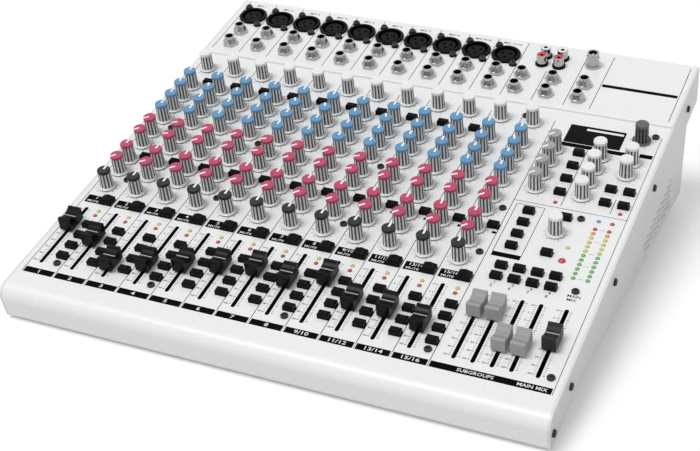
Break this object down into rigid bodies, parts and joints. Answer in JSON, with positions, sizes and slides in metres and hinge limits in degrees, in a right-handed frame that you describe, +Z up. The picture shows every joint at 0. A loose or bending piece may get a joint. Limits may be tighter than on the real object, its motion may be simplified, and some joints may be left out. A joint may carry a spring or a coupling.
{
  "type": "mixing console",
  "caption": "Sloping sheet-metal audio mixing console with channel strips of knobs, slide faders, push buttons and a raised socket panel that overhangs the rear face.",
  "frame": {"origin": "middle of the footprint, on the surface the feet stand on", "axes": "+X to the right seen by the person at the faders, +Y away from that person towards the rear sockets, +Z up"},
  "size_m": [0.4012, 0.3914, 0.1208],
  "materials": {
    "silver_paint": "fine satin metallic",
    "grey_paint": "satin",
    "black_screw": "satin",
    "rubber": "matte",
    "circuit_board": "satin",
    "supply_parts": "satin",
    "plated_steel": "brushed",
    "control_body": "matte",
    "socket_black": "satin",
    "nickel": "polished",
    "lamp_lens": "clear tinted",
    "display_black": "gloss",
    "knob_white": "satin",
    "knob_blue": "satin",
    "knob_pink": "satin",
    "knob_dark": "satin",
    "knob_grey": "satin",
    "button_black": "satin",
    "fader_black": "satin",
    "fader_grey": "satin",
    "fader_dark": "satin"
  },
  "bodies": {
    "console": {"aux_knobs": "knob_pink", "bottom_pan": "grey_paint", "case_screws": "black_screw", "circuit_boards": "circuit_board", "connector_panel": "silver_paint", "display_window": "display_black", "eq_knobs": "knob_blue", "fader_tracks": "plated_steel", "feet": "rubber", "jack_collars": "nickel", "jack_sockets": "socket_black", "lamp_socket": "nickel", "left_cheek": "silver_paint", "pan_knobs": "knob_dark", "pot_and_switch_bodies": "control_body", "power_entry": "socket_black", "power_supply": "supply_parts", "rca_sockets": "nickel", "rear_panel": "grey_paint", "right_cheek": "silver_paint", "status_leds": "lamp_lens", "top_panel": "silver_paint", "trim_knobs": "knob_white", "xlr_sockets": "socket_black"},
    "channel_1_fader": {"channel_1_fader": "fader_black"},
    "channel_2_fader": {"channel_2_fader": "fader_black"},
    "channel_3_fader": {"channel_3_fader": "fader_black"},
    "channel_4_fader": {"channel_4_fader": "fader_black"},
    "channel_5_fader": {"channel_5_fader": "fader_black"},
    "channel_6_fader": {"channel_6_fader": "fader_black"},
    "channel_7_fader": {"channel_7_fader": "fader_black"},
    "channel_8_fader": {"channel_8_fader": "fader_black"},
    "channel_9_fader": {"channel_9_fader": "fader_black"},
    "channel_10_fader": {"channel_10_fader": "fader_black"},
    "channel_11_fader": {"channel_11_fader": "fader_black"},
    "channel_12_fader": {"channel_12_fader": "fader_black"},
    "group_1_fader": {"group_1_fader": "fader_grey"},
    "group_2_fader": {"group_2_fader": "fader_grey"},
    "group_3_fader": {"group_3_fader": "fader_grey"},
    "group_4_fader": {"group_4_fader": "fader_grey"},
    "main_fader": {"main_fader": "fader_dark"},
    "aux_master_1_knob": {"aux_master_1_knob": "knob_grey"},
    "aux_master_2_knob": {"aux_master_2_knob": "knob_grey"},
    "aux_master_3_knob": {"aux_master_3_knob": "knob_grey"},
    "aux_master_4_knob": {"aux_master_4_knob": "knob_grey"},
    "return_1_knob": {"return_1_knob": "knob_white"},
    "return_2_knob": {"return_2_knob": "knob_white"},
    "return_3_knob": {"return_3_knob": "knob_white"},
    "return_4_knob": {"return_4_knob": "knob_white"},
    "effect_level_1_knob": {"effect_level_1_knob": "knob_white"},
    "effect_level_2_knob": {"effect_level_2_knob": "knob_white"},
    "effect_select_knob": {"effect_select_knob": "knob_dark"},
    "monitor_level_knob": {"monitor_level_knob": "knob_white"},
    "route_buttons": {"route_buttons": "button_black"},
    "low_cut_buttons": {"low_cut_buttons": "button_black"},
    "pre_buttons": {"pre_buttons": "button_black"},
    "master_buttons": {"master_buttons": "button_black"},
    "mute_buttons": {"mute_buttons": "button_black"},
    "power_switch": {"power_switch": "button_black"},
    "phantom_switch": {"phantom_switch": "button_black"}
  },
  "joints": [
    {"name": "channel_1_fader_slide", "type": "slide", "parent": "console", "child": "channel_1_fader", "axis": [0, 0.9774, 0.2113], "range_m": [-0.0409, 0.0191]},
    {"name": "channel_2_fader_slide", "type": "slide", "parent": "console", "child": "channel_2_fader", "axis": [0, 0.9774, 0.2113], "range_m": [-0.0302, 0.0298]},
    {"name": "channel_3_fader_slide", "type": "slide", "parent": "console", "child": "channel_3_fader", "axis": [0, 0.9774, 0.2113], "range_m": [-0.0108, 0.0492]},
    {"name": "channel_4_fader_slide", "type": "slide", "parent": "console", "child": "channel_4_fader", "axis": [0, 0.9774, 0.2113], "range_m": [-0.0178, 0.0422]},
    {"name": "channel_5_fader_slide", "type": "slide", "parent": "console", "child": "channel_5_fader", "axis": [0, 0.9774, 0.2113], "range_m": [-0.025, 0.035]},
    {"name": "channel_6_fader_slide", "type": "slide", "parent": "console", "child": "channel_6_fader", "axis": [0, 0.9774, 0.2113], "range_m": [-0.0316, 0.0284]},
    {"name": "channel_7_fader_slide", "type": "slide", "parent": "console", "child": "channel_7_fader", "axis": [0, 0.9774, 0.2113], "range_m": [-0.0368, 0.0232]},
    {"name": "channel_8_fader_slide", "type": "slide", "parent": "console", "child": "channel_8_fader", "axis": [0, 0.9774, 0.2113], "range_m": [-0.0326, 0.0274]},
    {"name": "channel_9_fader_slide", "type": "slide", "parent": "console", "child": "channel_9_fader", "axis": [0, 0.9774, 0.2113], "range_m": [-0.0429, 0.0171]},
    {"name": "channel_10_fader_slide", "type": "slide", "parent": "console", "child": "channel_10_fader", "axis": [0, 0.9774, 0.2113], "range_m": [-0.0256, 0.0344]},
    {"name": "channel_11_fader_slide", "type": "slide", "parent": "console", "child": "channel_11_fader", "axis": [0, 0.9774, 0.2113], "range_m": [-0.0261, 0.0339]},
    {"name": "channel_12_fader_slide", "type": "slide", "parent": "console", "child": "channel_12_fader", "axis": [0, 0.9774, 0.2113], "range_m": [-0.0202, 0.0398]},
    {"name": "group_1_fader_slide", "type": "slide", "parent": "console", "child": "group_1_fader", "axis": [0, 0.9774, 0.2113], "range_m": [-0.0447, 0.0153]},
    {"name": "group_2_fader_slide", "type": "slide", "parent": "console", "child": "group_2_fader", "axis": [0, 0.9774, 0.2113], "range_m": [-0.045, 0.015]},
    {"name": "group_3_fader_slide", "type": "slide", "parent": "console", "child": "group_3_fader", "axis": [0, 0.9774, 0.2113], "range_m": [-0.019, 0.041]},
    {"name": "group_4_fader_slide", "type": "slide", "parent": "console", "child": "group_4_fader", "axis": [0, 0.9774, 0.2113], "range_m": [-0.019, 0.041]},
    {"name": "main_fader_slide", "type": "slide", "parent": "console", "child": "main_fader", "axis": [0, 0.9774, 0.2113], "range_m": [-0.0294, 0.0306]},
    {"name": "aux_master_1_knob_turn", "type": "hinge", "parent": "console", "child": "aux_master_1_knob", "pos_m": [0.1223, 0.05887, 0.08203], "axis": [0, -0.2113, 0.9774], "range_deg": [-150, 150]},
    {"name": "aux_master_2_knob_turn", "type": "hinge", "parent": "console", "child": "aux_master_2_knob", "pos_m": [0.1223, 0.04343, 0.07869], "axis": [0, -0.2113, 0.9774], "range_deg": [-150, 150]},
    {"name": "aux_master_3_knob_turn", "type": "hinge", "parent": "console", "child": "aux_master_3_knob", "pos_m": [0.1223, 0.02779, 0.0753], "axis": [0, -0.2113, 0.9774], "range_deg": [-150, 150]},
    {"name": "aux_master_4_knob_turn", "type": "hinge", "parent": "console", "child": "aux_master_4_knob", "pos_m": [0.1223, 0.01206, 0.0719], "axis": [0, -0.2113, 0.9774], "range_deg": [-150, 150]},
    {"name": "return_1_knob_turn", "type": "hinge", "parent": "console", "child": "return_1_knob", "pos_m": [0.1565, 0.05887, 0.08203], "axis": [0, -0.2113, 0.9774], "range_deg": [-300, 0]},
    {"name": "return_2_knob_turn", "type": "hinge", "parent": "console", "child": "return_2_knob", "pos_m": [0.1565, 0.04343, 0.07869], "axis": [0, -0.2113, 0.9774], "range_deg": [-300, 0]},
    {"name": "return_3_knob_turn", "type": "hinge", "parent": "console", "child": "return_3_knob", "pos_m": [0.1565, 0.02779, 0.0753], "axis": [0, -0.2113, 0.9774], "range_deg": [-300, 0]},
    {"name": "return_4_knob_turn", "type": "hinge", "parent": "console", "child": "return_4_knob", "pos_m": [0.1565, 0.01206, 0.0719], "axis": [0, -0.2113, 0.9774], "range_deg": [-300, 0]},
    {"name": "effect_level_1_knob_turn", "type": "hinge", "parent": "console", "child": "effect_level_1_knob", "pos_m": [0.18, 0.05887, 0.08203], "axis": [0, -0.2113, 0.9774], "range_deg": [-300, 0]},
    {"name": "effect_level_2_knob_turn", "type": "hinge", "parent": "console", "child": "effect_level_2_knob", "pos_m": [0.18, 0.04343, 0.07869], "axis": [0, -0.2113, 0.9774], "range_deg": [-300, 0]},
    {"name": "effect_select_knob_turn", "type": "hinge", "parent": "console", "child": "effect_select_knob", "pos_m": [0.18, 0.08624, 0.08794], "axis": [0, -0.2113, 0.9774], "continuous": true},
    {"name": "monitor_level_knob_turn", "type": "hinge", "parent": "console", "child": "monitor_level_knob", "pos_m": [0.1506, -0.03066, 0.06267], "axis": [0, -0.2113, 0.9774], "range_deg": [-150, 150]},
    {"name": "route_buttons_press", "type": "slide", "parent": "console", "child": "route_buttons", "axis": [0, 0.2113, -0.9774], "range_m": [0, 0.0016], "stiffness_N_per_m": 800, "springref_m": -0.002},
    {"name": "low_cut_buttons_press", "type": "slide", "parent": "console", "child": "low_cut_buttons", "axis": [0, 0.2113, -0.9774], "range_m": [0, 0.0016], "stiffness_N_per_m": 800, "springref_m": -0.002},
    {"name": "pre_buttons_press", "type": "slide", "parent": "console", "child": "pre_buttons", "axis": [0, 0.2113, -0.9774], "range_m": [0, 0.0016], "stiffness_N_per_m": 800, "springref_m": -0.002},
    {"name": "master_buttons_press", "type": "slide", "parent": "console", "child": "master_buttons", "axis": [0, 0.2113, -0.9774], "range_m": [0, 0.0016], "stiffness_N_per_m": 800, "springref_m": -0.002},
    {"name": "mute_buttons_press", "type": "slide", "parent": "console", "child": "mute_buttons", "axis": [0, 0.2113, -0.9774], "range_m": [0, 0.0016], "stiffness_N_per_m": 800, "springref_m": -0.002},
    {"name": "power_switch_rock", "type": "hinge", "parent": "console", "child": "power_switch", "pos_m": [-0.128, 0.1635, 0.0429], "axis": [-1, 0, 0], "range_deg": [0, 16]},
    {"name": "phantom_switch_rock", "type": "hinge", "parent": "console", "child": "phantom_switch", "pos_m": [-0.094, 0.1635, 0.0429], "axis": [-1, 0, 0], "range_deg": [0, 16]}
  ]
}
